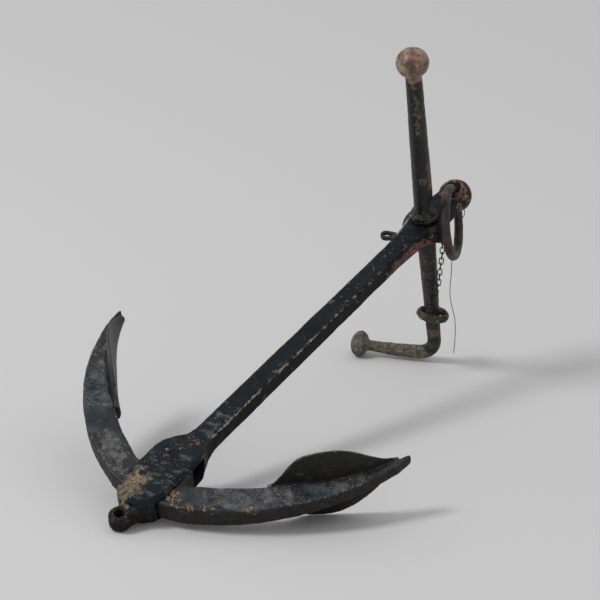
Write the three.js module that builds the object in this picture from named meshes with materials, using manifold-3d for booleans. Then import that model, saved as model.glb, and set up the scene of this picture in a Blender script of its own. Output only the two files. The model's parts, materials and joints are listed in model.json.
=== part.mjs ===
// Old stocked anchor of forged iron, painted black, standing as it rests on a floor: on the eye at its
// crown, on the lower edge of its right palm and on the bent end of its stock.
//
// Every piece is modelled in the anchor's own frame, in millimetres: x runs across the arms, y along
// the shank from the crown to the ring, and z along the stock. The last section finds how the anchor
// settles on the floor and turns it to stand there, with +Z up.
import * as THREE from 'three';
import { mergeVertices } from 'three/addons/utils/BufferGeometryUtils.js';
import Module from 'manifold-3d';

const wasm = await Module();
wasm.setup();

// ---- Driving dimensions ----

const FIT = 0.5; // gap between pieces that touch

const shank = {
  stockStation: 898, // from the crown's outer face to the stock's hole
  headStation: 998, // and to the middle of the ball at the ring end
  thickness: 39,
  edge: 3.5, // chamfer along the bar
  crownEnd: -29,
  crownThickness: 68,
  crownEdge: 10,
  bossRadius: 46,
  bossDrop: 31, // of the boss's lower face below the shank's axis
  headRadius: 34,
};
const mortise = { inner: 148, height: 46.5, gap: 1.2 };
const stud = { x: -18, y: 106.5, radius: 5, rise: 6 }; // stub of a pin in the crown's upper face
const eye = { x: -5, y: -56, radius: 22.5, hole: 9.5, thickness: 36 };

const arm = {
  thickness: 45,
  tipThickness: 26,
  edge: 3,
  rootDepth: 104, // of the shoulders inside the crown
};
// Each arm's outer face is an arc of a circle: its centre, beyond the shank, and its radius. The bill
// ends this far out and this far up.
const rightArc = { x: -109.5, y: 451, radius: 479, reach: 361, tip: 378 };
const leftArc = { x: 71.3, y: 417.7, radius: 431.6, reach: 355, tip: 371 };

const palm = { length: 274, halfWidth: 86, thickness: 11, rim: 4, dish: 8, start: 42 };
const palmFoot = { right: 3, left: 9 }; // thickness at the end nearest the crown

const stock = {
  top: 436, // height of the ball's middle above the shank's axis
  ballRadius: 33.5,
  ballHeight: 30,
  holeRadius: 21.4,
  shoulderRadius: 27.5,
  bend: -367.5, // height of the bent arm's axis
  bendRadius: 44,
  reach: 156, // from the stock's axis to the middle of the end knob
  rise: 12, // of the bent arm towards its knob
  knobRadius: 27.5,
  swing: 207.5, // degrees from +x to the bent arm
};

// The ring leans on the boss: its middle lies this way from the head's, and its hole this way.
const ring = { radius: 68, wire: 9.6, swing: -59, lean: 7.1, roll: 6.5 };
const key = { length: 127, width: 15, thickness: 10, left: 93, eyeWidth: 23, gap: 2.5 };
const washer = { outer: 34.5, inner: 23.5, thickness: 17, height: -253, tilt: 8 };
const link = { length: 20, width: 11.4, wire: 1.5, pitch: 13.5 };
const tagWire = { radius: 0.8, sides: 8, steps: 76 };
const wornFlat = 0.8; // worn off where the anchor stands

const Z = new THREE.Vector3(0, 0, 1);
const radians = THREE.MathUtils.degToRad;

// ---- Shaping and solids ----

// Moves each vertex of a geometry to where a function of its x, y and z says.
function reshape(geometry, place) {
  const position = geometry.attributes.position;
  const point = new THREE.Vector3();
  for (let i = 0; i < position.count; i += 1) {
    point.fromBufferAttribute(position, i);
    const moved = place(point.x, point.y, point.z);
    position.setXYZ(i, moved.x, moved.y, moved.z);
  }
  return geometry;
}

// The closed mesh of a geometry, as a solid that can be joined and cut.
function solid(geometry) {
  const bare = geometry.index ? geometry.toNonIndexed() : geometry.clone();
  bare.deleteAttribute('normal');
  bare.deleteAttribute('uv');
  const merged = mergeVertices(bare, 1e-4);
  const vertProperties = new Float32Array(merged.attributes.position.array);
  const triVerts = new Uint32Array(merged.index.array);
  return new wasm.Manifold(new wasm.Mesh({ numProp: 3, vertProperties, triVerts }));
}

function surface(manifold) {
  const { vertProperties, triVerts } = manifold.getMesh();
  const geometry = new THREE.BufferGeometry();
  geometry.setAttribute('position', new THREE.BufferAttribute(vertProperties, 3));
  geometry.setIndex(new THREE.BufferAttribute(triVerts, 1));
  return geometry;
}

// A flat plate of an outline in x and y, centred on z = 0, with chamfered edges inside the outline.
function plate(outline, thickness, edge, curveSegments = 12) {
  const geometry = new THREE.ExtrudeGeometry(outline, {
    depth: thickness - 2 * edge,
    bevelThickness: edge,
    bevelSize: edge,
    bevelOffset: -edge,
    bevelSegments: 1,
    curveSegments,
  });
  return geometry.translate(0, 0, edge - thickness / 2);
}

// A turned solid about the z axis, from [radius, height] pairs that start and end on the axis.
function turned(profile, segments = 24) {
  const points = profile.map(([radius, height]) => new THREE.Vector2(radius, height));
  return new THREE.LatheGeometry(points, segments).rotateX(Math.PI / 2);
}

// A round bar along a flat curve in x and z, with its radius at each station along the curve.
function roundBar(curve, stations, sides) {
  const bar = new THREE.CylinderGeometry(1, 1, 1, sides, stations.length - 1);
  const total = curve.getLength();
  return reshape(bar, (x, y, z) => {
    const { along, radius } = stations[Math.round((y + 0.5) * (stations.length - 1))];
    const at = Math.min(along / total, 1);
    const centre = curve.getPointAt(at);
    const ahead = curve.getTangentAt(at);
    const beside = new THREE.Vector3(-ahead.z, 0, ahead.x);
    return centre.addScaledVector(beside, x * radius).add(new THREE.Vector3(0, z * radius, 0));
  });
}

function cylinder(radius, height, segments = 24) {
  return new THREE.CylinderGeometry(radius, radius, height, segments).rotateX(Math.PI / 2);
}

// ---- Arms: one curved bar through the crown ----

// A point on an arm's outer face, a given distance out from the shank's axis.
function outerPoint(arc, side, out) {
  const across = side * out;
  return new THREE.Vector2(across, arc.y - Math.sqrt(arc.radius ** 2 - (across - arc.x) ** 2));
}

// The inner edge of the right arm from the crown to the bill, where its palm is seated.
const innerEdge = [[68, 73], [154, 125], [240, 199], [284, 243], [324, 302], [346, 358]];

function armHalf(arc, side) {
  const root = [[44, 2], [84, 12]];
  const start = 112;
  const steps = 10;
  const outer = Array.from({ length: steps + 1 }, (_, i) => {
    return outerPoint(arc, side, start + (arc.reach - 6 - start) * i / steps);
  });
  const bill = [[arc.reach, arc.tip - 14], [arc.reach, arc.tip - 2], [arc.reach - 7, arc.tip]];
  const inner = new THREE.SplineCurve(innerEdge.map(([x, y]) => new THREE.Vector2(side * x, y)));
  const mirrored = (points) => points.map(([x, y]) => new THREE.Vector2(side * x, y));
  return [...mirrored(root), ...outer, ...mirrored(bill), ...inner.getPoints(14).reverse()];
}

function armOutline() {
  const right = armHalf(rightArc, 1);
  const left = armHalf(leftArc, -1).reverse();
  const shoulders = [[52, 70], [45, arm.rootDepth], [-45, arm.rootDepth], [-52, 70]]
    .map(([x, y]) => new THREE.Vector2(x, y));
  return new THREE.Shape([new THREE.Vector2(0, 2), ...right, ...shoulders, ...left]);
}

// The bar thins from the crown to the bills.
function armThinning(across) {
  const out = THREE.MathUtils.clamp((Math.abs(across) - 120) / 240, 0, 1);
  return THREE.MathUtils.lerp(1, arm.tipThickness / arm.thickness, out ** 1.4);
}

function armsGeometry() {
  const bar = plate(armOutline(), arm.thickness, arm.edge);
  return reshape(bar, (x, y, z) => new THREE.Vector3(x, y, z * armThinning(x)));
}

// ---- Palms: a leaf-shaped plate on the inner edge of each arm ----

const leaf = [[0, 0.2], [0.05, 0.27], [0.1, 0.42], [0.15, 0.64], [0.2, 0.83], [0.28, 0.95], [0.38, 1],
  [0.48, 1], [0.58, 0.93], [0.68, 0.77], [0.79, 0.52], [0.9, 0.28], [1, 0.12]];

function leafHalfWidth(along) {
  const next = Math.max(1, leaf.findIndex(([at]) => at >= along - 1e-9));
  const [a, wa] = leaf[next - 1];
  const [b, wb] = leaf[next];
  return palm.halfWidth * THREE.MathUtils.lerp(wa, wb, (along - a) / (b - a));
}

// The palm's plate is dished towards the ring, and thins to its rim, its foot and its point.
function palmThickness(along, across, foot) {
  const fromFoot = THREE.MathUtils.smoothstep(along, 0, 0.3);
  const middle = THREE.MathUtils.lerp(foot, palm.thickness, fromFoot);
  const rim = Math.min(palm.rim, foot + 1);
  return THREE.MathUtils.lerp(middle, rim, across ** 2);
}

function palmGeometry(side, foot) {
  const seat = new THREE.SplineCurve(innerEdge.slice(1).map(([x, y]) => new THREE.Vector2(x, y)));
  const seatLength = seat.getLength();
  const start = palm.start;
  const span = Math.min(palm.length, seatLength - start - 2);
  const block = new THREE.BoxGeometry(1, 1, 1, 10, 18, 1);
  const plateSolid = reshape(block, (x, y, z) => {
    const along = y + 0.5;
    const part = (start + along * span) / seatLength;
    const at = seat.getPointAt(part);
    const ahead = seat.getTangentAt(part);
    const halfWidth = leafHalfWidth(along);
    const across = 2 * x * halfWidth;
    const dish = palm.dish * (across / palm.halfWidth) ** 2;
    const lift = 0.8 + dish + (z + 0.5) * palmThickness(along, 2 * x, foot);
    return new THREE.Vector3(at.x - ahead.y * lift, at.y + ahead.x * lift, across);
  });
  return side > 0 ? plateSolid : surface(solid(plateSolid).mirror([1, 0, 0]));
}

// ---- Shank: bar, crown, eye, boss and head, one forging ----

function symmetric(halfWidths) {
  const right = halfWidths.map(([y, w]) => new THREE.Vector2(w, y));
  const left = halfWidths.map(([y, w]) => new THREE.Vector2(-w, y)).reverse();
  return new THREE.Shape([...right, ...left]);
}

function barSolid() {
  const outline = symmetric([
    [150, 23], [790, 19.5], [835, 22], [870, 28], [898, 30], [940, 28], [985, 24],
  ]);
  return solid(plate(outline, shank.thickness, shank.edge));
}

// The crown is wider on the left than on the right, and its left front corner slopes off.
function crownSolid() {
  const right = [
    [shank.crownEnd, 18], [-12, 38], [12, 48], [112, 48.5],
    [128, 47], [149, 36], [170, 26], [192, 22.6],
  ];
  const left = [
    [shank.crownEnd, 30], [-14, 48], [12, 56], [112, 56],
    [132, 51], [152, 38], [173, 25], [192, 22.6],
  ];
  const outline = new THREE.Shape([
    ...right.map(([y, w]) => new THREE.Vector2(w, y)),
    ...left.map(([y, w]) => new THREE.Vector2(-w, y)).reverse(),
  ]);
  const corner = new THREE.Plane().setFromCoplanarPoints(
    new THREE.Vector3(6, -30, 34),
    new THREE.Vector3(-36, 34, 34),
    new THREE.Vector3(-52, -14, 17),
  );
  if (corner.normal.z < 0) corner.negate();
  const below = corner.normal.clone().negate();
  return solid(plate(outline, shank.crownThickness, shank.crownEdge))
    .trimByPlane(below.toArray(), corner.constant);
}

// The crown's top and bottom fall away to the bar's thickness over this stretch.
function crownFall() {
  const half = shank.crownThickness / 2;
  const low = shank.thickness / 2;
  const profile = new THREE.Shape([
    [-90, -half], [128, -half], [188, -low], [196, -low],
    [196, low], [180, low], [118, half], [-90, half],
  ].map(([y, z]) => new THREE.Vector2(y, z)));
  const block = new THREE.ExtrudeGeometry(profile, { depth: 160, bevelEnabled: false })
    .translate(0, 0, -80);
  return solid(reshape(block, (x, y, z) => new THREE.Vector3(z, x, y)));
}

function bossSolid() {
  const half = shank.thickness / 2;
  const r = shank.bossRadius;
  const low = shank.bossDrop;
  const profile = [
    [0, -low], [r - 22, -low], [r - 8, -low + 11], [r, -12],
    [r, 2], [r - 6, half - 6], [r - 15, half], [0, half],
  ];
  return solid(turned(profile, 32)).translate([0, shank.stockStation, 0]);
}

function eyeSolid() {
  const half = eye.thickness / 2;
  const r = eye.radius;
  const disc = turned([
    [0, -half], [r - 5, -half], [r, -half + 6], [r, half - 6], [r - 5, half], [0, half],
  ], 28);
  const neck = symmetric([[eye.y, 14], [shank.crownEnd + 12, 28]]);
  return solid(disc).translate([eye.x, eye.y, 0]).add(solid(plate(neck, eye.thickness, 5)));
}

function studSolid() {
  const { radius, rise } = stud;
  const half = shank.crownThickness / 2;
  const profile = [
    [0, half - 4], [radius, half - 4], [radius, half + rise - 1.5],
    [radius - 1.5, half + rise], [0, half + rise],
  ];
  return solid(turned(profile, 12)).translate([stud.x, stud.y, 0]);
}

function mortiseSolid() {
  const half = mortise.height / 2;
  const outline = new THREE.Shape();
  outline.moveTo(-mortise.gap, -half);
  outline.lineTo(mortise.inner - half, -half);
  outline.absarc(mortise.inner - half, 0, half, -Math.PI / 2, Math.PI / 2, false);
  outline.lineTo(-mortise.gap, half);
  const slot = new THREE.ExtrudeGeometry(outline, {
    depth: 160,
    bevelEnabled: false,
    curveSegments: 10,
  });
  return solid(reshape(slot.translate(0, 0, -80), (x, y, z) => new THREE.Vector3(z, x, y)));
}

// The hole for the ring opens towards both mouths, so that the curved wire can swing round in it.
function ringHole() {
  const bore = [0, 6, 12, 18, 24, 30, 36].map((z) => [ring.wire + 2.3 + z * z / (2 * ring.radius), z]);
  const lower = bore.slice(1).reverse().map(([radius, z]) => [radius, -z]);
  return turned([[0, -36], ...lower, ...bore, [0, 36]], 20);
}

function shankGeometry(holeLine) {
  const turn = new THREE.Quaternion().setFromUnitVectors(Z, holeLine);
  const bore = ringHole().applyQuaternion(turn).translate(0, shank.headStation, 0);
  const ball = new THREE.SphereGeometry(shank.headRadius, 24, 16).translate(0, shank.headStation, 0);
  const stockHole = cylinder(stock.holeRadius, 80).translate(0, shank.stockStation, 0);
  const eyeHole = cylinder(eye.hole, 80, 20).translate(eye.x, eye.y, 0);
  return barSolid()
    .add(crownSolid().intersect(crownFall()))
    .add(bossSolid())
    .add(solid(ball))
    .add(eyeSolid())
    .add(studSolid())
    .subtract(mortiseSolid())
    .subtract(solid(bore))
    .subtract(solid(stockHole))
    .subtract(solid(eyeHole));
}

// ---- Stock: one round bar with a ball, a shoulder, a bend and an end knob ----

function stockCurve() {
  const { top, ballHeight, bend, bendRadius, reach, rise } = stock;
  const straight = new THREE.LineCurve3(
    new THREE.Vector3(0, 0, top + ballHeight),
    new THREE.Vector3(0, 0, bend + bendRadius),
  );
  const corner = new THREE.QuadraticBezierCurve3(
    new THREE.Vector3(0, 0, bend + bendRadius),
    new THREE.Vector3(0, 0, bend),
    new THREE.Vector3(bendRadius, 0, bend),
  );
  const out = new THREE.QuadraticBezierCurve3(
    new THREE.Vector3(bendRadius, 0, bend),
    new THREE.Vector3(reach * 0.6, 0, bend),
    new THREE.Vector3(reach + 19, 0, bend + rise * 1.2),
  );
  const path = new THREE.CurvePath();
  path.add(straight);
  path.add(corner);
  path.add(out);
  return path;
}

// Stations on a rounded end: an ellipse of the given half length, cut where the bar's radius meets it.
function bulge(middle, halfLength, radius, from, to, steps) {
  return Array.from({ length: steps + 1 }, (_, i) => {
    const angle = radians(from + (to - from) * i / steps);
    return { along: middle - halfLength * Math.cos(angle), radius: radius * Math.sin(angle) };
  });
}

function stockGeometry() {
  const curve = stockCurve();
  const total = curve.getLength();
  const { top, ballRadius, ballHeight, shoulderRadius, knobRadius } = stock;
  const down = (height) => top + ballHeight - height; // distance along the curve to a height
  const seat = shank.thickness / 2 + FIT;
  const elbowHeights = Array.from({ length: 8 }, (_, i) => -318 - 9 * i);
  const stations = [
    ...bulge(ballHeight, ballHeight, ballRadius, 8, 150, 9),
    { along: down(340), radius: 17.4 },
    { along: down(200), radius: 18.8 },
    { along: down(seat + 28), radius: 20.4 },
    { along: down(seat + 22), radius: 23 },
    { along: down(seat + 17), radius: shoulderRadius },
    { along: down(seat + 6), radius: shoulderRadius },
    { along: down(seat), radius: shoulderRadius - 3.5 },
    { along: down(seat - 0.2), radius: 20.2 },
    { along: down(0), radius: 20.2 },
    { along: down(-60), radius: 19 },
    { along: down(-200), radius: 16.2 },
    { along: down(-290), radius: 15.2 },
    ...elbowHeights.map((height) => ({ along: down(height), radius: 14.8 })),
    { along: total - 105, radius: 14.2 },
    { along: total - 80, radius: 13 },
    { along: total - 60, radius: 11.8 },
    { along: total - 44, radius: 11 },
    ...bulge(total - 19, 19, knobRadius, 24, 172, 9),
  ];
  stations.sort((a, b) => a.along - b.along);
  const bar = roundBar(curve, stations, 20).rotateZ(radians(stock.swing));
  return bar.translate(0, shank.stockStation, 0);
}

// ---- Forelock key through the stock, under the shank ----

const chainHoleIn = 6.4; // from the key's right end to the middle of the chain's hole
const keyHeight = -shank.bossDrop - key.gap - key.thickness / 2;

// Its outline along x, before it is turned to lie over the bent arm: an eye at the far end.
function keyOutline() {
  const right = key.length - key.left;
  const half = key.width / 2;
  const eyeHalf = key.eyeWidth / 2;
  const outline = new THREE.Shape();
  outline.moveTo(-right + half, -half);
  outline.lineTo(key.left - 34, -half);
  outline.absarc(key.left - eyeHalf, 0, eyeHalf, -Math.PI / 2, Math.PI / 2, false);
  outline.lineTo(key.left - 34, half);
  outline.lineTo(-right + half, half);
  outline.absarc(-right + half, 0, half, Math.PI / 2, 3 * Math.PI / 2, false);
  const slit = new THREE.Path();
  slit.absarc(key.left - 11.5, 0, 4.5, -Math.PI / 2, Math.PI / 2, false);
  slit.absarc(key.left - 22, 0, 3, Math.PI / 2, 3 * Math.PI / 2, false);
  outline.holes.push(slit);
  const chainHole = new THREE.Path();
  chainHole.absarc(-right + chainHoleIn, 0, 3, 0, 2 * Math.PI, false);
  outline.holes.push(chainHole);
  return outline;
}

function placeOnStock(geometry) {
  return geometry.rotateZ(radians(stock.swing)).translate(0, shank.stockStation, 0);
}

function keyGeometry() {
  return placeOnStock(plate(keyOutline(), key.thickness, 1.6, 8).translate(0, 0, keyHeight));
}

function keySlot() {
  const block = new THREE.BoxGeometry(120, key.width + 2 * FIT, key.thickness + 2 * FIT);
  return placeOnStock(block.translate(0, 0, keyHeight));
}

// ---- How the anchor settles on the floor ----

function lowest(geometry, up) {
  const position = geometry.attributes.position;
  const best = new THREE.Vector3().fromBufferAttribute(position, 0);
  const point = new THREE.Vector3();
  for (let i = 1; i < position.count; i += 1) {
    point.fromBufferAttribute(position, i);
    if (point.dot(up) < best.dot(up)) best.copy(point);
  }
  return best;
}

// Turns the floor under three feet until it touches all three.
function settle(feet, start) {
  let up = start.clone().normalize();
  for (let i = 0; i < 12; i += 1) {
    const [a, b, c] = feet.map((foot) => lowest(foot, up));
    const normal = b.clone().sub(a).cross(c.clone().sub(a)).normalize();
    up = normal.dot(up) > 0 ? normal : normal.negate();
  }
  return { up, height: Math.min(...feet.map((foot) => lowest(foot, up).dot(up))) };
}

const rightPalm = palmGeometry(1, palmFoot.right);
const wholeStock = stockGeometry();
const crownEye = surface(eyeSolid());
const { up, height } = settle([crownEye, rightPalm, wholeStock], new THREE.Vector3(-0.17, 0.34, 0.93));
const floor = height + wornFlat;

// A piece that stands on the floor is worn flat there.
function worn(manifold) {
  return manifold.trimByPlane(up.toArray(), floor);
}

// ---- Ring, hanging from the head ----

const ringOut = new THREE.Vector3(1, 0, 0)
  .applyAxisAngle(new THREE.Vector3(0, 1, 0), radians(ring.lean))
  .applyAxisAngle(Z, radians(ring.swing));
const holeLine = Z.clone().addScaledVector(ringOut, -Z.dot(ringOut)).normalize()
  .applyAxisAngle(ringOut, radians(ring.roll));
const ringNormal = holeLine.clone().cross(ringOut);
const headMiddle = new THREE.Vector3(0, shank.headStation, 0);
const ringMiddle = headMiddle.clone().addScaledVector(ringOut, ring.radius);

function ringGeometry() {
  const turn = new THREE.Quaternion().setFromUnitVectors(Z, ringNormal);
  return new THREE.TorusGeometry(ring.radius, ring.wire, 10, 36).applyQuaternion(turn)
    .translate(ringMiddle.x, ringMiddle.y, ringMiddle.z);
}

// ---- Washer on the stock, held up by a chain from the key ----

const nearLine = new THREE.Vector3(0.63, -0.69, 0.36).normalize(); // level, towards the chain's side

function washerGeometry() {
  const half = washer.thickness / 2;
  const { inner, outer } = washer;
  const profile = [
    [inner, 0], [inner + 1.5, -half], [outer - 4, -half], [outer, -half + 5],
    [outer, half - 5], [outer - 4, half], [inner + 1.5, half], [inner, 0],
  ];
  const level = up.clone().applyAxisAngle(nearLine, radians(-washer.tilt));
  const turn = new THREE.Quaternion().setFromUnitVectors(Z, level);
  return turned(profile, 28).applyQuaternion(turn)
    .translate(1.5, shank.stockStation, washer.height);
}

// The chain's line from the key's right end, down the stock, into the washer.
const chainLine = new THREE.CatmullRomCurve3([
  [28.4, 912.8, -40.2], [28, 909, -80], [26.5, 902, -112], [25.5, 896, -145],
  [20, 886, -182], [16, 881, -212], [13.5, 883.4, -236.4],
].map((point) => new THREE.Vector3(...point)));

// A link is a wire ring with its two halves drawn apart.
function linkGeometry() {
  const bend = link.width / 2 - link.wire;
  const stretch = link.length / 2 - link.wire - bend;
  const wire = new THREE.TorusGeometry(bend, link.wire, 5, 12).rotateZ(Math.PI / 12);
  const drawn = reshape(wire, (x, y, z) => new THREE.Vector3(x + Math.sign(x) * stretch, y, z));
  return drawn.rotateY(Math.PI / 2);
}

function chainLinks() {
  const length = chainLine.getLength();
  const count = Math.floor(length / link.pitch) + 1;
  return Array.from({ length: count }, (_, i) => {
    const at = Math.min(i * link.pitch / length, 1);
    const centre = chainLine.getPointAt(at);
    const turn = new THREE.Quaternion().setFromUnitVectors(Z, chainLine.getTangentAt(at).negate());
    return linkGeometry().rotateZ(radians(stock.swing - 90 + (i % 2) * 90)).applyQuaternion(turn)
      .translate(centre.x, centre.y, centre.z);
  });
}

// ---- Tag wire, tied round the ring ----

// Its route as the anchor stands, from the end behind the head, down behind the ring, to its free end.
const tagWireRoute = [
  [288, 443, 354.5], [291.3, 441, 349], [291.4, 438, 342.6], [288.3, 434.3, 337],
  [283, 425, 324], [284.8, 414.7, 308], [286.8, 400.6, 295], [288, 383.8, 286],
  [288.2, 365.3, 281], [287, 352, 280.2], [286, 348.8, 274], [286.2, 348.8, 262],
  [285.8, 348.7, 245], [284.6, 348.3, 227.5], [284.3, 348.2, 210], [285.8, 348.7, 195],
  [288.8, 349.5, 179.5], [292.3, 350.5, 165.3], [295.4, 351.4, 151], [296.8, 351.8, 133.5],
  [297.1, 351.9, 116], [296.5, 351.7, 96.3], [295.1, 351.3, 76.5],
];

function tagWireGeometry() {
  const route = new THREE.CatmullRomCurve3(tagWireRoute.map((point) => new THREE.Vector3(...point)));
  const section = new THREE.Shape();
  section.absarc(0, 0, tagWire.radius, 0, 2 * Math.PI, false);
  return new THREE.ExtrudeGeometry(section, {
    extrudePath: route,
    steps: tagWire.steps,
    curveSegments: tagWire.sides / 2,
    bevelEnabled: false,
  });
}

// ---- Assembly ----

function iron(color, roughness, metalness) {
  return new THREE.MeshStandardMaterial({ color, roughness, metalness });
}

const anchor = new THREE.Group();

function add(name, geometry, material, group = anchor) {
  const mesh = new THREE.Mesh(geometry, material);
  mesh.name = name;
  group.add(mesh);
}

add('shank', surface(worn(shankGeometry(holeLine))), iron(0x2b3036, 0.55, 0.3));
add('arms', armsGeometry(), iron(0x3a4046, 0.6, 0.3));
add('palm_right', surface(worn(solid(rightPalm))), iron(0x2e3032, 0.7, 0.3));
add('palm_left', palmGeometry(-1, palmFoot.left), iron(0x55585a, 0.7, 0.3));
add('stock', surface(worn(solid(wholeStock).subtract(solid(keySlot())))), iron(0x4c4a45, 0.6, 0.4));
add('forelock_key', keyGeometry(), iron(0x5a5a58, 0.7, 0.5));
add('ring', ringGeometry(), iron(0x6a625e, 0.6, 0.5));
add('washer', washerGeometry(), iron(0x6f6a62, 0.8, 0.4));
chainLinks().forEach((geometry, i) => {
  add(`chain_link_${String(i + 1).padStart(2, '0')}`, geometry, iron(0x5c564e, 0.8, 0.5));
});

// The anchor stands facing along +Y: its rows run level across the ring's side.
const across = up.clone().cross(Z).normalize();
const ahead = up.clone().cross(across);
const stance = new THREE.Matrix4().makeBasis(across, ahead, up).transpose();
anchor.quaternion.setFromRotationMatrix(stance);
anchor.updateMatrixWorld(true);
const box = new THREE.Box3().setFromObject(anchor, true);
const middle = box.getCenter(new THREE.Vector3());
anchor.position.set(-middle.x, -middle.y, -box.min.z);

const part = new THREE.Group();
part.add(anchor);
add('tag_wire', tagWireGeometry(), iron(0x4a4844, 0.7, 0.6), part);
part.updateMatrixWorld(true);

export default part;
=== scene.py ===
"""An old stocked anchor of forged iron, painted black and worn to primer and rust, on a pale floor."""

import json

import bmesh
import bpy
import numpy as np
from mathutils import Matrix, Vector
from mathutils.bvhtree import BVHTree


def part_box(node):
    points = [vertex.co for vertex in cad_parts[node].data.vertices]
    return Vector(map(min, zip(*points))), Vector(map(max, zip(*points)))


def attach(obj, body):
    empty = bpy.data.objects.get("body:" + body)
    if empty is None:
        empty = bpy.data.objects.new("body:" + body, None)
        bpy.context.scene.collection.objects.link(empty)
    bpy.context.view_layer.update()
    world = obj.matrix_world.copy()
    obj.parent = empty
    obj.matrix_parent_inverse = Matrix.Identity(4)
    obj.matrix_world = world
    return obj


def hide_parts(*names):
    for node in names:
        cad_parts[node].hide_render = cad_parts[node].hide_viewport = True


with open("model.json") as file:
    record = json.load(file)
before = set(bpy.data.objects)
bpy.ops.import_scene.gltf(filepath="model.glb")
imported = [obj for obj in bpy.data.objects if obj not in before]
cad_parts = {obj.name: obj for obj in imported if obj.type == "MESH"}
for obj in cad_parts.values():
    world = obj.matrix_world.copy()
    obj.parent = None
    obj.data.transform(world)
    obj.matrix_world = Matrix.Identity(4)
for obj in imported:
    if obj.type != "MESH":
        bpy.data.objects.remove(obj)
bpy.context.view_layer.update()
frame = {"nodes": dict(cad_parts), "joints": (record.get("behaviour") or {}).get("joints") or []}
joints = {joint["name"]: joint for joint in frame["joints"]}

# ---- The anchor's own frame, in mm: a across the arms, s from the crown to the ring, k along the stock ----

stock_hole = np.array(joints["stock_turn"]["pos_m"])
head_middle = np.array(joints["ring_swing"]["pos_m"])
K = np.array(joints["stock_turn"]["axis"])
S = (head_middle - stock_hole) / np.linalg.norm(head_middle - stock_hole)
A = np.cross(S, K)
STOCK_STATION = 898.0  # of the stock's hole, from the crown's outer face
HEAD = (0, 998, 0)  # middle of the head


def anchor_coordinates(points):
    away = (points - stock_hole) * 1000
    return np.stack([away @ A, away @ S + STOCK_STATION, away @ K], 1)


# ---- Camera ----

CAMERA_PLACE = (1.9034, -8.0141, 3.7703)
CAMERA_RIGHT = (0.97282, 0.23101, 0.01573)
CAMERA_UP = (-0.10376, 0.37418, 0.92153)

def make_camera():
    data = bpy.data.cameras.new("camera")
    data.sensor_width = 36
    data.lens = 276
    data.clip_end = 60
    camera = bpy.data.objects.new("camera", data)
    right = Vector(CAMERA_RIGHT).normalized()
    up = Vector(CAMERA_UP)
    up = (up - right * up.dot(right)).normalized()
    camera.matrix_world = Matrix.Translation(CAMERA_PLACE) @ Matrix(
        (right, up, right.cross(up))
    ).transposed().to_4x4()
    bpy.context.scene.collection.objects.link(camera)
    bpy.context.scene.camera = camera


make_camera()

# ---- Tag wire, tied round the ring and hanging free ----

WIRE_DIAMETER = 0.0016
WIRE_ROUTE_MM = [
    (288, 443, 354.5), (291.3, 441, 349), (291.4, 438, 342.6), (288.3, 434.3, 337), (283, 425, 324),
    (284.8, 414.7, 308), (286.8, 400.6, 295), (288, 383.8, 286), (288.2, 365.3, 281), (287, 352, 280.2),
    (286, 348.8, 274), (286.2, 348.8, 262), (285.8, 348.7, 245), (284.6, 348.3, 227.5), (284.3, 348.2, 210),
    (285.8, 348.7, 195), (288.8, 349.5, 179.5), (292.3, 350.5, 165.3), (295.4, 351.4, 151),
    (296.8, 351.8, 133.5), (297.1, 351.9, 116), (296.5, 351.7, 96.3), (295.1, 351.3, 76.5),
]


def smooth_route(points, steps):
    """Points along a Catmull-Rom curve through the given ones."""
    points = [2 * points[0] - points[1], *points, 2 * points[-1] - points[-2]]
    line = []
    for p0, p1, p2, p3 in zip(points, points[1:], points[2:], points[3:]):
        for i in range(steps):
            t = i / steps
            line.append(0.5 * (2 * p1 + (p2 - p0) * t + (2 * p0 - 5 * p1 + 4 * p2 - p3) * t * t
                               + (3 * p1 - p0 - 3 * p2 + p3) * t ** 3))
    line.append(points[-2])
    return line


def make_wire():
    line = smooth_route([np.array(p) / 1000 for p in WIRE_ROUTE_MM], 4)
    curve = bpy.data.curves.new("tag_wire_line", "CURVE")
    curve.dimensions = "3D"
    curve.bevel_depth = 1  # times each point's radius, which the curve's box also counts
    curve.bevel_resolution = 2
    curve.use_fill_caps = True
    spline = curve.splines.new("POLY")
    spline.points.add(len(line) - 1)
    for point, place in zip(spline.points, line):
        point.co = (*place, 1)
        point.radius = WIRE_DIAMETER / 2
    wire = bpy.data.objects.new("wire", curve)
    bpy.context.scene.collection.objects.link(wire)
    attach(wire, "ring_body")
    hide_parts("tag_wire")
    return wire


wire = make_wire()

# ---- Noise and mesh helpers ----


def hashed(cells, seed):
    """A repeatable number from 0 to 1 for each whole-number cell."""
    x, y, z = (cells[:, i].astype(np.uint64) for i in range(3))
    mixed = x * np.uint64(73856093) ^ y * np.uint64(19349663) ^ z * np.uint64(83492791)
    mixed ^= np.uint64(seed * 2654435)
    mixed = (mixed ^ (mixed >> np.uint64(13))) * np.uint64(1274126177)
    return ((mixed ^ (mixed >> np.uint64(16))) & np.uint64(0xFFFF)).astype(float) / 0xFFFF


def value_noise(points, seed):
    low = np.floor(points)
    part = points - low
    part = part * part * (3 - 2 * part)
    low = low.astype(np.int64) + 4096
    total = np.zeros(len(points))
    for corner in range(8):
        step = np.array([corner & 1, corner >> 1 & 1, corner >> 2 & 1])
        weight = np.prod(np.where(step, part, 1 - part), axis=1)
        total += weight * hashed(low + step, seed)
    return total


def fractal(points, size, octaves=3, seed=1):
    """Layered noise from about -1 to 1, with features of the given size."""
    total, strength = np.zeros(len(points)), 0.0
    for octave in range(octaves):
        noise = value_noise(points / size * 2 ** octave + 17.3 * octave, seed + octave)
        total += (noise * 2 - 1) / 2 ** octave
        strength += 1 / 2 ** octave
    return total / strength * 1.4


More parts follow.
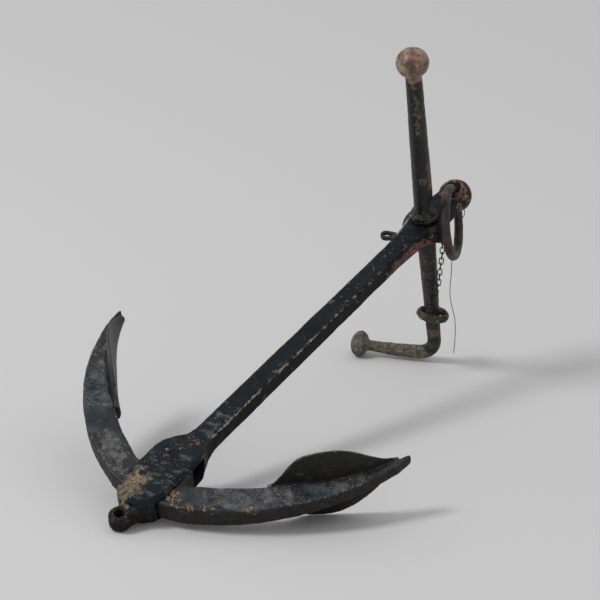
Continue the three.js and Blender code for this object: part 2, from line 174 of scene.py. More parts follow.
def read_mesh(mesh):
    co = np.empty(len(mesh.vertices) * 3)
    mesh.vertices.foreach_get("co", co)
    edges = np.empty(len(mesh.edges) * 2, np.int64)
    mesh.edges.foreach_get("vertices", edges)
    return co.reshape(-1, 3), edges.reshape(-1, 2)


def relaxed(values, edges, times):
    """Each vertex's value averaged with its neighbours', over and over."""
    a, b = edges.T
    count = len(values)
    degree = np.bincount(a, minlength=count) + np.bincount(b, minlength=count)
    degree = np.maximum(degree, 1)
    columns = values.reshape(count, -1).copy()
    for _ in range(times):
        for i in range(columns.shape[1]):
            column = columns[:, i]
            total = np.bincount(a, column[b], count) + np.bincount(b, column[a], count)
            columns[:, i] = 0.5 * column + 0.5 * total / degree
    return columns.reshape(values.shape)


def vertex_normals(mesh):
    normals = np.empty(len(mesh.vertices) * 3)
    mesh.vertices.foreach_get("normal", normals)
    return normals.reshape(-1, 3)


def dense_copy(nodes, name, voxel, smoothing):
    """One fine mesh over the given CAD nodes."""
    joined = bmesh.new()
    for node in nodes:
        part = frame["nodes"][node].data.copy()
        start = bpy.data.objects.new("part", part)
        bpy.context.scene.collection.objects.link(start)
        weld = start.modifiers.new("weld", "WELD")
        weld.merge_threshold = 1e-5
        remesh = start.modifiers.new("remesh", "REMESH")
        remesh.mode = "VOXEL"
        remesh.voxel_size = voxel
        if smoothing:
            smooth = start.modifiers.new("smooth", "SMOOTH")
            smooth.factor = 0.5
            smooth.iterations = smoothing
        evaluated = start.evaluated_get(bpy.context.evaluated_depsgraph_get())
        fine = bpy.data.meshes.new_from_object(evaluated)
        joined.from_mesh(fine)
        bpy.data.objects.remove(start)
        bpy.data.meshes.remove(part)
        bpy.data.meshes.remove(fine)
    mesh = bpy.data.meshes.new(name)
    joined.to_mesh(mesh)
    joined.free()
    mesh.materials.clear()
    piece = bpy.data.objects.new(name, mesh)
    bpy.context.scene.collection.objects.link(piece)
    return piece


MOST_OUTWARD_MM = 0.08  # that weathering may raise a surface


def weather(piece, nodes, lumps, dents, pits, seed):
    """Hammer marks and corrosion: the surface moves along its normals, within the CAD nodes' box."""
    mesh = piece.data
    co, _ = read_mesh(mesh)
    normals = vertex_normals(mesh)
    mm = co * 1000
    move = lumps * (fractal(mm, 55, 2, seed) - 0.25) + dents * (fractal(mm, 14, 3, seed + 7) - 0.3)
    spots = fractal(mm, 6, 2, seed + 20)
    move -= pits * np.clip(spots - 0.35, 0, 1) * 2.5
    co = co + normals * (np.minimum(move, MOST_OUTWARD_MM) / 1000)[:, None]
    boxes = [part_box(node) for node in nodes]
    low = np.min([box[0] for box in boxes], axis=0)
    high = np.max([box[1] for box in boxes], axis=0)
    co = np.clip(co, low, high)
    mesh.vertices.foreach_set("co", co.ravel())
    mesh.update()


def set_attribute(mesh, name, values):
    attribute = mesh.attributes.get(name) or mesh.attributes.new(name, "FLOAT", "POINT")
    attribute.data.foreach_set("value", values.astype(np.float32))


def get_attribute(mesh, name):
    values = np.empty(len(mesh.vertices))
    mesh.attributes[name].data.foreach_get("value", values)
    return values


def mark_edges(piece, reach, strength):
    """Attribute "edge" is 1 on convex edges and "nook" is 1 in hollows."""
    co, edges = read_mesh(piece.data)
    away = ((co - relaxed(co, edges, reach)) * vertex_normals(piece.data)).sum(1) * 1000
    set_attribute(piece.data, "edge", np.clip(away / strength, 0, 1))
    set_attribute(piece.data, "nook", np.clip(-away / strength, 0, 1))


def mark(piece, name, spots, ragged, grain=9.0):
    """Attribute `name` is 1 in ellipsoids (a, s, k, ra, rs, rk) of the anchor's frame, with ragged edges."""
    co, _ = read_mesh(piece.data)
    place = anchor_coordinates(co)
    best = np.zeros(len(co))
    rough = fractal(place, grain, 3, 3)
    for a, s, k, ra, rs, rk in spots:
        distance = np.sqrt((((place - (a, s, k)) / (ra, rs, rk)) ** 2).sum(1))
        best = np.maximum(best, np.clip((1.25 - distance + ragged * rough) / 0.5, 0, 1))
    set_attribute(piece.data, name, best)


def finish_piece(piece, body, nodes, material):
    piece.data.polygons.foreach_set("use_smooth", [True] * len(piece.data.polygons))
    piece.data.materials.append(material)
    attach(piece, body)
    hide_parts(*nodes)


# ---- Material helpers ----


def srgb(r, g, b):
    def linear(v):
        v = v / 255
        return v / 12.92 if v <= 0.04045 else ((v + 0.055) / 1.055) ** 2.4

    return (linear(r), linear(g), linear(b), 1)


def shades(*tones):
    return [srgb(*tone) for tone in tones]


BUMP_DEPTH = 0.0012
GRAIN_HEIGHT = 0.25
UNEVEN_GLOSS = 0.32


class Coat:
    """A painted or rusted surface, built up in layers from the bottom one."""

    def __init__(self, name, colours, size, rough, metallic=0.0, specular=0.3):
        self.material = bpy.data.materials.new(name)
        self.material.use_nodes = True
        self.tree = self.material.node_tree
        self.shader = self.tree.nodes["Principled BSDF"]
        self.shader.inputs["Metallic"].default_value = metallic
        self.shader.inputs["Specular IOR Level"].default_value = specular
        self.place = self.node("ShaderNodeTexCoord").outputs["Object"]
        self.count = 0
        self.colour = self.ramp(self.noise(size, 6, 0.62), colours, 0.3, 0.7)
        self.rough = self.value(rough)
        self.height = self.value(0.5)

    def node(self, kind):
        return self.tree.nodes.new(kind)

    def link(self, source, target):
        self.tree.links.new(source, target)

    def value(self, number):
        node = self.node("ShaderNodeValue")
        node.outputs[0].default_value = number
        return node.outputs[0]

    def math(self, operation, a, b=None, c=None, clamp=False):
        node = self.node("ShaderNodeMath")
        node.operation = operation
        node.use_clamp = clamp
        for socket, given in zip(node.inputs, (a, b, c)):
            if given is None:
                continue
            if isinstance(given, (int, float)):
                socket.default_value = given
            else:
                self.link(given, socket)
        return node.outputs[0]

    def noise(self, size, detail=5, roughness=0.6, distortion=0.0, stretch=None):
        """Noise from 0 to 1 with features about `size` mm across."""
        self.count += 1
        node = self.node("ShaderNodeTexNoise")
        node.inputs["Scale"].default_value = 1000 / size
        node.inputs["Detail"].default_value = detail
        node.inputs["Roughness"].default_value = roughness
        node.inputs["Distortion"].default_value = distortion
        mapping = self.node("ShaderNodeMapping")
        mapping.inputs["Location"].default_value = (0.37 * self.count, 0.71 * self.count, 0.13 * self.count)
        if stretch is not None:
            mapping.inputs["Rotation"].default_value = stretch[0]
            mapping.inputs["Scale"].default_value = stretch[1]
        self.link(self.place, mapping.inputs["Vector"])
        self.link(mapping.outputs[0], node.inputs["Vector"])
        return node.outputs["Fac"]

    def attribute(self, name):
        node = self.node("ShaderNodeAttribute")
        node.attribute_name = name
        return node.outputs["Fac"]

    def ramp(self, factor, colours, low=0.35, high=0.65):
        node = self.node("ShaderNodeValToRGB")
        stops = node.color_ramp.elements
        for i, colour in enumerate(colours):
            position = low + (high - low) * i / max(len(colours) - 1, 1)
            stop = stops[i] if i < 2 else stops.new(position)
            stop.position = position
            stop.color = colour
        self.link(factor, node.inputs["Fac"])
        return node.outputs["Color"]

    def step(self, source, low, high):
        node = self.node("ShaderNodeMapRange")
        node.interpolation_type = "SMOOTHSTEP"
        node.inputs["From Min"].default_value = low
        node.inputs["From Max"].default_value = high
        self.link(source, node.inputs["Value"])
        return node.outputs["Result"]

    def mix(self, factor, a, b):
        node = self.node("ShaderNodeMix")
        node.data_type = "RGBA"
        self.link(factor, node.inputs["Factor"])
        self.link(a, node.inputs[6])
        self.link(b, node.inputs[7])
        return node.outputs[2]

    def layer(self, colours, size, cover=0.0, mask=None, gain=1.0, soft=0.04, rough=0.7, height=0.0,
              tone=12, stretch=None, strength=1.0):
        """Adds a layer over `cover` of the surface, and over more of it where attribute `mask` is high."""
        amount = self.noise(size, 6, 0.6, 0.3, stretch)
        level = self.value(1 - cover)
        if mask is not None:
            level = self.math("SUBTRACT", level, self.math("MULTIPLY", self.attribute(mask), gain))
        over = self.math("SUBTRACT", self.step(amount, 0.2, 0.8), level)
        factor = self.step(over, -soft, soft)
        if strength < 1:
            factor = self.math("MULTIPLY", factor, strength)
        self.colour = self.mix(factor, self.colour, self.ramp(self.noise(tone, 5, 0.65), colours))
        change = self.math("SUBTRACT", rough, self.rough)
        self.rough = self.math("MULTIPLY_ADD", factor, change, self.rough)
        if height:
            self.height = self.math("MULTIPLY_ADD", factor, height, self.height)

    def done(self, bump, grain=1.2):
        """Joins the layers to the shader, with a fine grain in the bump and the gloss."""
        fine = self.noise(grain, 4, 0.6)
        height = self.math("MULTIPLY_ADD", fine, GRAIN_HEIGHT, self.height)
        height = self.math("MULTIPLY_ADD", self.noise(grain * 5, 4, 0.6), GRAIN_HEIGHT, height)
        node = self.node("ShaderNodeBump")
        node.inputs["Strength"].default_value = bump
        node.inputs["Distance"].default_value = BUMP_DEPTH
        self.link(height, node.inputs["Height"])
        self.link(node.outputs[0], self.shader.inputs["Normal"])
        unevenness = self.math("MULTIPLY", self.math("SUBTRACT", self.noise(8), 0.5), UNEVEN_GLOSS)
        rough = self.math("ADD", self.rough, unevenness, clamp=True)
        self.link(rough, self.shader.inputs["Roughness"])
        self.link(self.colour, self.shader.inputs["Base Color"])
        return self.material


# Each material's darkest, middle and lightest colour.
NAVY = shades((7, 14, 20), (11, 22, 29), (19, 29, 36))
SIDE_SHADE_BLACK = shades((5, 5, 6), (9, 9, 10), (17, 16, 16))
SLATE = shades((22, 27, 33), (36, 42, 48), (58, 62, 66))
PALE = shades((74, 76, 76), (100, 100, 96), (130, 127, 118))
CHIP = shades((92, 92, 88), (138, 136, 128), (178, 174, 162))
PRIMER = shades((72, 45, 42), (98, 66, 60), (122, 86, 78))
RUST = shades((58, 39, 30), (98, 69, 50), (140, 104, 74))
TAN = shades((92, 78, 62), (128, 110, 88), (164, 142, 114))
BROWN = shades((30, 24, 20), (46, 37, 31), (66, 53, 43))
OLIVE = shades((40, 38, 32), (62, 58, 48), (88, 82, 67))
CRUST = shades((60, 56, 50), (92, 86, 76), (124, 116, 103))
GRIME_AND_HOLLOW_SHADE = shades((8, 7, 6), (14, 12, 10), (22, 18, 14))
DULL_GREY = shades((30, 34, 38), (44, 47, 49), (62, 62, 60))
DARK_BROWN = shades((14, 12, 11), (25, 21, 18), (42, 35, 29))
WORN_TAN = shades((52, 46, 40), (94, 82, 69), (132, 117, 100))
MOTTLED = shades((12, 14, 15), (24, 27, 25), (38, 40, 34))
DARK_SLATE = shades((12, 15, 19), (20, 25, 31), (32, 38, 44))
BLUE_BLOOM = shades((52, 60, 66), (78, 84, 88), (108, 110, 108))
FLANK_SHADE_BROWN = shades((17, 15, 13), (29, 25, 21), (44, 37, 31))
SCALE_AND_SHADE = shades((13, 13, 12), (22, 21, 19), (33, 31, 28))
DUSTY_SCALE = shades((34, 33, 29), (50, 47, 41), (68, 64, 55))
EDGE_WEAR_AND_HIGHLIGHT = shades((46, 42, 38), (74, 66, 59), (106, 93, 82))
PALM_GREY = shades((36, 36, 36), (47, 47, 46), (60, 59, 57))
STREAKS = shades((14, 14, 14), (23, 22, 21), (32, 30, 29))
STOCK_BLACK = shades((10, 12, 12), (18, 20, 19), (31, 31, 28))
PALE_OLIVE = shades((62, 56, 45), (88, 80, 64), (112, 101, 82))
BARE_IRON = shades((58, 54, 48), (88, 83, 73), (118, 111, 98))
OLD_PAINT = shades((11, 12, 13), (18, 20, 21), (28, 29, 28))
STOCK_TAN = shades((66, 49, 38), (98, 76, 58), (122, 100, 76))
BALL_COPPER = shades((84, 58, 53), (124, 96, 84), (148, 128, 104))
BALL_STAIN = shades((30, 24, 22), (54, 44, 38), (84, 72, 57))
KEY_IRON = shades((22, 23, 23), (36, 37, 36), (56, 55, 52))
WASHER_IRON = shades((34, 32, 28), (54, 51, 45), (78, 73, 65))
CHAIN_IRON = shades((16, 15, 14), (27, 25, 23), (42, 38, 34))
RING_IRON = shades((30, 27, 25), (48, 42, 39), (68, 60, 54))
RING_RED = shades((40, 26, 25), (60, 39, 37), (80, 55, 50))
RING_PALE = shades((76, 70, 61), (102, 93, 80), (126, 114, 98))
RING_BLACK = shades((14, 13, 12), (23, 21, 20), (34, 31, 28))
WIRE_STEEL = shades((64, 62, 58), (88, 85, 79), (112, 108, 100))

# How noise is turned and scaled to run one way.
ACROSS_SHANK = ((0.3, 0.2, 0.6), (0.6, 1.3, 1.0))
DOWN_PALM = ((0.35, 0.0, 0.0), (2.2, 0.5, 0.28))

# ---- Shank: bar, crown, eye, boss and head ----


def shank_coat():
    coat = Coat("shank_paint", NAVY, 60, 0.44, specular=0.16)
    coat.layer(DULL_GREY, 30, cover=0.08, soft=0.16, rough=0.6, tone=7)
    # darker brown on the shank's lower side and parts of the crown: brown scale, and painted shade
    coat.layer(DARK_BROWN, 24, mask="brown_and_under_shade", gain=0.9, soft=0.18, rough=0.66, height=-0.1)
    # painted shade: the shank's side faces made near-black, as they fall in shade
    coat.layer(SIDE_SHADE_BLACK, 30, mask="side_shade", gain=0.9, soft=0.12, rough=0.6, tone=20)
    coat.layer(PRIMER, 16, mask="primer", gain=0.9, soft=0.03, rough=0.66, height=-0.35)
    coat.layer(WORN_TAN, 30, mask="facet", gain=1.0, soft=0.3, rough=0.7, height=-0.1, tone=11)
    coat.layer(RUST, 6, cover=0.02, mask="rust", gain=0.52, soft=0.07, rough=0.85, height=-0.3, tone=4)
    coat.layer(TAN, 8, mask="tan", gain=0.6, soft=0.1, rough=0.8, height=-0.2, tone=5)
    coat.layer(MOTTLED, 13, mask="mottle", gain=0.56, soft=0.03, rough=0.5, height=0.2)
    coat.layer(CHIP, 3.4, cover=0.05, mask="worn", gain=0.24, soft=0.05, rough=0.65, height=-0.3, tone=4,
               strength=0.7)
    coat.layer(CHIP, 12, mask="line", gain=0.78, soft=0.14, rough=0.6, height=-0.3, tone=5, strength=0.75)
    coat.layer(PALE, 16, mask="scratch", gain=0.36, soft=0.2, rough=0.6, tone=5, stretch=ACROSS_SHANK,
               strength=0.45)
    coat.layer(CHIP, 5, mask="fleck", gain=0.17, soft=0.06, rough=0.65, height=-0.3, tone=4, strength=0.75)
    # painted shade: near-black in the hollows, where shade falls
    coat.layer(GRIME_AND_HOLLOW_SHADE, 14, mask="nook", gain=0.7, soft=0.15, rough=0.85)
    return coat.done(bump=0.6, grain=1.6)


BAR_EDGE = 17.8  # of the bar's front edges above the shank's axis


def edge_line(place):
    """1 where the paint is worn off the bar's right front edge, and off its left one at the boss."""
    a, s, k = place.T
    above = k - BAR_EDGE
    right_edge = np.interp(s, [150, 790, 835, 870], [21.3, 17.8, 20, 26])
    right = 1 - np.hypot(a - right_edge, above) / 5
    right *= (s > 150) & (s < 850)
    wear = np.interp(s, [150, 190, 420, 560, 640, 800], [0.7, 1, 1, 0.8, 0.45, 0.4])
    wear = wear + 0.3 * fractal(place, 30, 2, 5)
    left_edge = -np.interp(s, [835, 870, 898], [20, 26, 28])
    left = (1 - np.hypot(a - left_edge, above) / 7) * (np.abs(s - 862) < 34) * 1.3
    return np.clip(np.maximum(right, 0) * np.clip(wear, 0, 1) + np.maximum(left, 0), 0, 1)


def make_shank():
    piece = dense_copy(["shank"], "shank_forging", 0.0021, 3)
    weather(piece, ["shank"], 0.7, 0.5, 0.3, 11)
    mark_edges(piece, 14, 0.9)
    co, _ = read_mesh(piece.data)
    place = anchor_coordinates(co)
    # the shank's side faces, for painted shade
    side_shade = np.clip((np.abs(vertex_normals(piece.data) @ A) - 0.75) / 0.15, 0, 1)
    set_attribute(piece.data, "side_shade", side_shade * np.clip((place[:, 1] - 130) / 40, 0, 1))
    mark(piece, "primer", [(22, 842, -5, 10, 76, 14), (26, 886, -12, 12, 34, 12),
                           (22, 778, -11, 6, 34, 7), (22, 652, -19, 6, 60, 5), (22, 456, -19, 6, 24, 4),
                           (-22, 790, 19, 5, 14, 4)], 0.5, 12)
    mark(piece, "rust", [(-12, 611, 20, 4, 8, 4), (13, 627, 20, 4, 6, 4), (-4, 630, 20, 3, 4, 3),
                         (24, 602, 17, 4, 9, 5), (14, 399, 20, 5, 5, 4), (8, 163, 24, 13, 9, 8),
                         (-12, 172, 24, 9, 8, 7), (-23, 776, 19, 3, 12, 4), (-15, 97, 34, 5, 6, 4),
                         (-16, 26, 33, 9, 10, 6), (28, 884, 4, 12, 14, 5), (23, 352, -6, 4, 9, 5)], 0.6,
         7)
    mark(piece, "facet", [(-29, -2, 27, 33, 40, 20), (-42, -20, 12, 16, 22, 16),
                          (14, 884, -26, 22, 12, 10)], 0.6, 12)
    mark(piece, "tan", [(-24, 20, 32, 12, 14, 8), (-2, 131, 34, 8, 8, 4), (-18, 106.5, 41, 5, 5, 3.5),
                        (12, 980, -26, 18, 18, 10)], 0.5, 8)
    # where the shank's lower side and crown get darker brown: brown scale and painted shade
    mark(piece, "brown_and_under_shade", [(0, -10, -14, 70, 40, 30), (-5, -56, 0, 34, 30, 26), (40, 60, -20, 20, 90, 22),
                          (0, 0, -40, 300, 1200, 14), (24, 890, -14, 30, 40, 26)], 0.5, 14)
    mark(piece, "mottle", [(*HEAD, 40, 40, 40)], 0.2)
    mark(piece, "scratch", [(0, 60, 34, 60, 60, 12), (0, 230, 20, 24, 60, 6)], 0.8, 20)
    mark(piece, "fleck", [(-6, 745, 20, 26, 110, 6), (0, 60, 34, 60, 90, 12), (0, 235, 20, 26, 60, 6)],
         0.8, 20)
    set_attribute(piece.data, "worn", get_attribute(piece.data, "edge") * 0.9)
    set_attribute(piece.data, "line", edge_line(place))
    head = np.clip((42 - np.linalg.norm(place - HEAD, axis=1)) / 6, 0, 1)
    streaks = fractal(place, 14, 3, 31)
    on_head = {"primer": head * (0.4 + 1.1 * streaks), "tan": head * (0.55 - 1.2 * streaks)}
    for name, amount in on_head.items():
        amount = np.maximum(get_attribute(piece.data, name), np.clip(amount, 0, 1))
        set_attribute(piece.data, name, amount)
    finish_piece(piece, "anchor_body", ["shank"], shank_coat())


# ---- Arms and palms ----


def arms_coat():
    coat = Coat("arm_paint", SLATE, 40, 0.46)
    coat.layer(DARK_SLATE, 34, cover=0.42, soft=0.16, rough=0.46)
    coat.layer(PALE, 24, cover=0.06, mask="pale", gain=0.36, soft=0.22, rough=0.62, tone=7, strength=0.6)
    coat.layer(BLUE_BLOOM, 5, cover=0.08, mask="bloom", gain=0.36, soft=0.25, rough=0.6, tone=5,
               strength=0.55)
    coat.layer(PALE, 7, cover=0.05, mask="pale", gain=0.26, soft=0.1, rough=0.62, tone=5, strength=0.6)
    # painted shade: the arms' side faces made darker brown-black
    coat.layer(FLANK_SHADE_BROWN, 30, mask="flank_shade", gain=0.95, soft=0.14, rough=0.62)
    coat.layer(RUST, 8, cover=0.03, mask="rust", gain=0.5, soft=0.06, rough=0.85, height=-0.25, tone=5)
    coat.layer(TAN, 6, mask="tan", gain=0.42, soft=0.1, rough=0.8, tone=5, strength=0.75)
    coat.layer(PRIMER, 13, cover=0.03, soft=0.05, rough=0.7, height=-0.2)
    coat.layer(CHIP, 5, cover=0.015, mask="edge", gain=0.24, soft=0.06, rough=0.65, height=-0.2, tone=4,
               strength=0.55)
    # painted shade: near-black in the hollows, where shade falls
    coat.layer(GRIME_AND_HOLLOW_SHADE, 14, mask="nook", gain=0.6, soft=0.15, rough=0.85)
    return coat.done(bump=0.55, grain=1.6)


def blunt_bills(piece):
    """Rounds the arms' two ends."""
    co, edges = read_mesh(piece.data)
    weight = np.clip((anchor_coordinates(co)[:, 1] - 338) / 24, 0, 1)[:, None]
    co = co + (relaxed(co, edges, 36) - co) * weight
    piece.data.vertices.foreach_set("co", co.ravel())
    piece.data.update()


def make_arms():
    piece = dense_copy(["arms"], "arm_bar", 0.0023, 3)
    blunt_bills(piece)
    weather(piece, ["arms"], 0.9, 0.6, 0.3, 23)
    mark_edges(piece, 14, 0.9)
    # the arms' side faces, for painted shade
    flank_shade = 1 - np.clip((np.abs(vertex_normals(piece.data) @ K) - 0.35) / 0.35, 0, 1)
    set_attribute(piece.data, "flank_shade", flank_shade)
    mark(piece, "pale", [(222, 147, 22, 60, 24, 12), (152, 84, 22, 50, 22, 12),
                         (312, 260, 18, 30, 50, 12), (-221, 148, 20, 34, 26, 12),
                         (-270, 205, 20, 22, 30, 12), (-137, 78, 20, 36, 20, 12),
                         (-330, 270, 18, 12, 50, 12), (-96, 46, 20, 26, 20, 12)], 0.7, 26)
    mark(piece, "bloom", [(290, 230, 20, 70, 90, 14), (180, 110, 20, 70, 40, 14),
                          (-250, 160, 20, 60, 70, 14)], 0.8, 30)
    mark(piece, "rust", [(56, 34, 22, 14, 14, 8), (96, 26, 22, 12, 8, 6), (133, 62, 22, 8, 6, 6),
                         (204, 98, 20, 10, 6, 6)], 0.8, 9)
    mark(piece, "tan", [(58, 26, 20, 18, 14, 8), (95, 18, 20, 26, 8, 10), (150, 42, 20, 36, 10, 10),
                        (-96, 60, 20, 18, 12, 8), (-72, 30, 20, 14, 14, 8), (215, 84, 20, 36, 12, 10),
                        (-306, 262, 14, 8, 24, 8)], 0.8, 12)
    finish_piece(piece, "anchor_body", ["arms"], arms_coat())


def right_palm_coat():
    # darker than the left palm: dark scale, and painted shade on the face turned from the light
    coat = Coat("right_palm_scale_and_shade", SCALE_AND_SHADE, 26, 0.56)
    coat.layer(DUSTY_SCALE, 20, cover=0.16, soft=0.14, rough=0.7, tone=7)
    coat.layer(RUST, 9, cover=0.03, soft=0.05, rough=0.85, height=-0.2, tone=5)
    # the plate's edges lighter: worn edge, and a painted highlight along the rim
    coat.layer(EDGE_WEAR_AND_HIGHLIGHT, 14, mask="rim", gain=0.8, soft=0.2, rough=0.65, tone=9)
    coat.layer(PALE, 6, cover=0.01, mask="edge", gain=0.5, soft=0.1, rough=0.6, tone=5, strength=0.6)
    return coat.done(bump=0.6, grain=1.7)


def left_palm_coat():
    coat = Coat("left_palm_paint", PALM_GREY, 40, 0.5)
    coat.layer(STREAKS, 9, cover=0.08, mask="streak", gain=0.3, soft=0.08, rough=0.65, height=-0.2,
               stretch=DOWN_PALM, strength=0.85)
    coat.layer(PALE, 6, mask="edge", gain=0.26, soft=0.1, rough=0.7, strength=0.6)
    coat.layer(RUST, 8, cover=0.025, soft=0.05, rough=0.85, height=-0.2, tone=5)
    return coat.done(bump=0.45, grain=1.6)


SEAT_REACH = 0.004
SEAT_DEPTH = 0.0008


def seat_on(piece, node):
    """Draws the vertices close outside a node onto its surface and a little into it."""
    mesh = frame["nodes"][node].data
    tree = BVHTree.FromPolygons([v.co for v in mesh.vertices], [p.vertices for p in mesh.polygons])
    co, _ = read_mesh(piece.data)
    for i, point in enumerate(co):
        place, normal, _, distance = tree.find_nearest(point, SEAT_REACH)
        if place is None:
            continue
        towards = np.array(place) - point
        if towards @ np.array(normal) < 0:
            pull = min(1.0, 2 * (1 - distance / SEAT_REACH))
            co[i] = point + towards * (1 + SEAT_DEPTH / max(distance, 1e-5)) * pull
    piece.data.vertices.foreach_set("co", co.ravel())
    piece.data.update()


def mark_rim(piece):
    """Attribute "rim" is 1 on the plate's cut edge."""
    normals = vertex_normals(piece.data)
    set_attribute(piece.data, "rim", np.clip((np.abs(normals @ K) - 0.45) / 0.3, 0, 1))


def make_right_palm():
    piece = dense_copy(["palm_right"], "right_palm_plate", 0.0016, 2)
    weather(piece, ["palm_right"], 0.8, 0.5, 0.3, 37)
    seat_on(piece, "arms")
    mark_edges(piece, 10, 0.8)
    mark_rim(piece)
    finish_piece(piece, "anchor_body", ["palm_right"], right_palm_coat())


def make_left_palm():
    piece = dense_copy(["palm_left"], "left_palm_plate", 0.0016, 2)
    weather(piece, ["palm_left"], 0.6, 0.3, 0.2, 41)
    seat_on(piece, "arms")
    mark_edges(piece, 10, 0.8)
    mark(piece, "streak", [(-200, 190, 0, 70, 70, 90)], 0.4, 20)
    finish_piece(piece, "anchor_body", ["palm_left"], left_palm_coat())


# ---- Stock, with its key, washer and chain ----


def stock_coat():
    coat = Coat("stock_iron", STOCK_BLACK, 30, 0.42)
    coat.layer(OLIVE, 20, cover=0.05, mask="low", gain=0.33, soft=0.1, rough=0.7, tone=7)
    coat.layer(PALE_OLIVE, 9, cover=0.04, mask="low", gain=0.22, soft=0.08, rough=0.75, tone=5)
    coat.layer(BARE_IRON, 34, mask="bent", gain=0.85, soft=0.2, rough=0.72, tone=8)
    coat.layer(OLD_PAINT, 10, cover=0.16, soft=0.06, rough=0.5, height=0.15)
    coat.layer(STOCK_TAN, 13, cover=0.02, mask="tan", gain=0.58, soft=0.1, rough=0.7, height=-0.2, tone=6,
               strength=0.85)
    coat.layer(RUST, 6, cover=0.045, soft=0.05, rough=0.85, height=-0.25, tone=4)
    coat.layer(CHIP, 3, cover=0.035, mask="crust", gain=0.24, soft=0.06, rough=0.8, height=0.2, tone=4,
               strength=0.6)
    coat.layer(BALL_COPPER, 40, mask="ball", gain=1.0, soft=0.2, rough=0.27, tone=22)
    coat.layer(BALL_STAIN, 11, mask="ball", gain=0.42, soft=0.12, rough=0.34, tone=7, strength=0.7)
    return coat.done(bump=0.5, grain=1.5)


def make_stock():
    piece = dense_copy(["stock"], "stock_bar", 0.0017, 4)
    weather(piece, ["stock"], 0.5, 0.5, 0.4, 53)
    mark_edges(piece, 10, 0.8)
    mark(piece, "ball", [(0, 898, 434, 40, 40, 38)], 0.1)
    mark(piece, "low", [(0, 898, -190, 40, 40, 185)], 0.3, 20)
    mark(piece, "bent", [(-78, 857, -366, 92, 60, 34), (-150, 820, -356, 50, 50, 50)], 0.2, 20)
    mark(piece, "tan", [(13, 886, 335, 8, 9, 52), (14, 884, 270, 6, 7, 20), (13, 886, 133, 7, 8, 11),
                        (17, 902, 150, 5, 9, 50), (12, 886, -300, 14, 12, 16), (13, 886, 385, 7, 8, 20)],
         0.7, 9)
    mark(piece, "crust", [(0, 898, 36, 40, 40, 22)], 0.3, 7)
    finish_piece(piece, "stock_body", ["stock"], stock_coat())


def iron_coat(name, base, over, rough, rust=0.08, bump=0.6):
    coat = Coat(name, base, 14, rough)
    coat.layer(over, 9, cover=0.3, soft=0.12, rough=rough + 0.1, tone=5)
    coat.layer(RUST, 7, cover=rust, soft=0.06, rough=0.85, height=-0.2, tone=4)
    # random dark grime, and painted shade: near-black in the hollows
    coat.layer(GRIME_AND_HOLLOW_SHADE, 8, cover=0.16, mask="nook", gain=0.5, soft=0.08, rough=0.8)
    coat.layer(CHIP, 4, cover=0.02, mask="edge", gain=0.3, soft=0.06, rough=0.65, tone=4, strength=0.6)
    return coat.done(bump=bump, grain=1.3)


def make_key():
    piece = dense_copy(["forelock_key"], "key", 0.0009, 3)
    weather(piece, ["forelock_key"], 0.3, 0.4, 0.3, 61)
    mark_edges(piece, 10, 0.5)
    coat = iron_coat("key_iron", KEY_IRON, OLIVE, 0.6)
    finish_piece(piece, "stock_body", ["forelock_key"], coat)


def make_washer():
    piece = dense_copy(["washer"], "washer_iron", 0.0011, 3)
    weather(piece, ["washer"], 1.0, 1.2, 0.8, 67)
    mark_edges(piece, 10, 0.7)
    coat = iron_coat("washer_crust", WASHER_IRON, CRUST, 0.7, 0.04, 0.9)
    finish_piece(piece, "stock_body", ["washer"], coat)


def make_chain():
    links = sorted(node for node in frame["nodes"] if node.startswith("chain_link_"))
    piece = dense_copy(links, "chain", 0.0006, 2)
    weather(piece, links, 0.1, 0.5, 0.3, 71)
    mark_edges(piece, 6, 0.4)
    coat = iron_coat("chain_rust", CHAIN_IRON, BROWN, 0.7, 0.06)
    finish_piece(piece, "stock_body", links, coat)


# ---- Ring ----


def ring_coat():
    coat = Coat("ring_iron", RING_IRON, 26, 0.46)
    coat.layer(RING_RED, 26, cover=0.2, soft=0.1, rough=0.6)
    coat.layer(RING_PALE, 16, cover=0.14, soft=0.14, rough=0.6, tone=6)
    coat.layer(RING_BLACK, 12, cover=0.2, soft=0.05, rough=0.55, height=0.15)
    coat.layer(RUST, 9, cover=0.05, soft=0.05, rough=0.8, height=-0.2, tone=5)
    return coat.done(bump=0.6, grain=1.4)


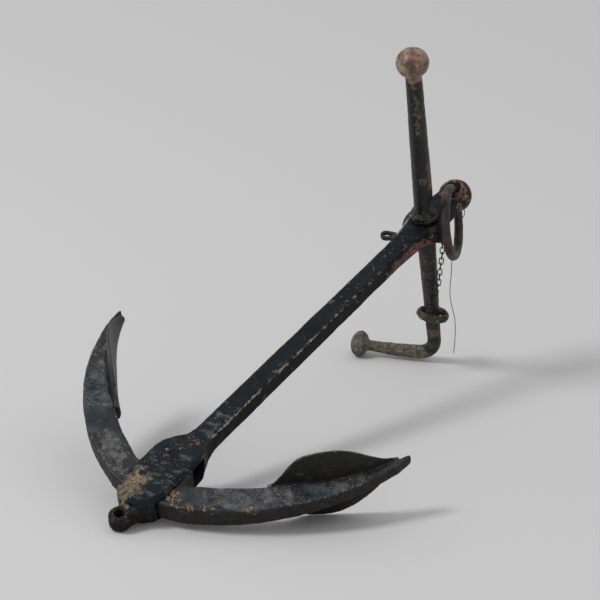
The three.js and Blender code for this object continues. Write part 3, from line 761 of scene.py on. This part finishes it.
def make_ring():
    piece = dense_copy(["ring"], "ring_iron", 0.0012, 6)
    weather(piece, ["ring"], 0.5, 0.5, 0.3, 83)
    finish_piece(piece, "ring_body", ["ring"], ring_coat())


def wire_coat():
    coat = Coat("wire_steel", WIRE_STEEL, 12, 0.5, metallic=0.4)
    coat.layer(RUST, 10, cover=0.2, soft=0.1, rough=0.8)
    return coat.done(bump=0.2)


make_shank()
make_arms()
make_right_palm()
make_left_palm()
make_stock()
make_key()
make_washer()
make_chain()
make_ring()
wire.data.materials.append(wire_coat())

# ---- Floor and studio light ----

FLOOR_SIZE = 14
FLOOR_DROP = 0.0003  # below the anchor, so that the two don't share a surface
KEY_LIGHT_PLACE = (-4.65, -2.99, 7.09)
KEY_LIGHT_SIZE = 2.2
KEY_LIGHT_POWER = 350
STUDIO_GLOW = 0.64


def make_floor():
    mesh = bpy.data.meshes.new("floor")
    shape = bmesh.new()
    bmesh.ops.create_grid(shape, x_segments=2, y_segments=2, size=FLOOR_SIZE)
    shape.to_mesh(mesh)
    shape.free()
    floor = bpy.data.objects.new("floor", mesh)
    floor.location.z = -FLOOR_DROP
    bpy.context.scene.collection.objects.link(floor)
    material = bpy.data.materials.new("floor")
    material.use_nodes = True
    shader = material.node_tree.nodes["Principled BSDF"]
    shader.inputs["Base Color"].default_value = (0.6, 0.6, 0.6, 1)
    shader.inputs["Roughness"].default_value = 0.9
    shader.inputs["Specular IOR Level"].default_value = 0.1
    mesh.materials.append(material)


def make_key_light():
    data = bpy.data.lights.new("key", "AREA")
    data.size = KEY_LIGHT_SIZE
    data.energy = KEY_LIGHT_POWER
    light = bpy.data.objects.new("key", data)
    light.location = KEY_LIGHT_PLACE
    light.rotation_euler = (-Vector(KEY_LIGHT_PLACE)).to_track_quat("-Z", "Y").to_euler()
    bpy.context.scene.collection.objects.link(light)


def make_light():
    world = bpy.data.worlds.new("studio")
    world.use_nodes = True
    background = world.node_tree.nodes["Background"]
    background.inputs["Color"].default_value = (1, 1, 1, 1)
    background.inputs["Strength"].default_value = STUDIO_GLOW
    bpy.context.scene.world = world
    make_key_light()
    bpy.context.scene.view_settings.view_transform = "Standard"


make_floor()
make_light()
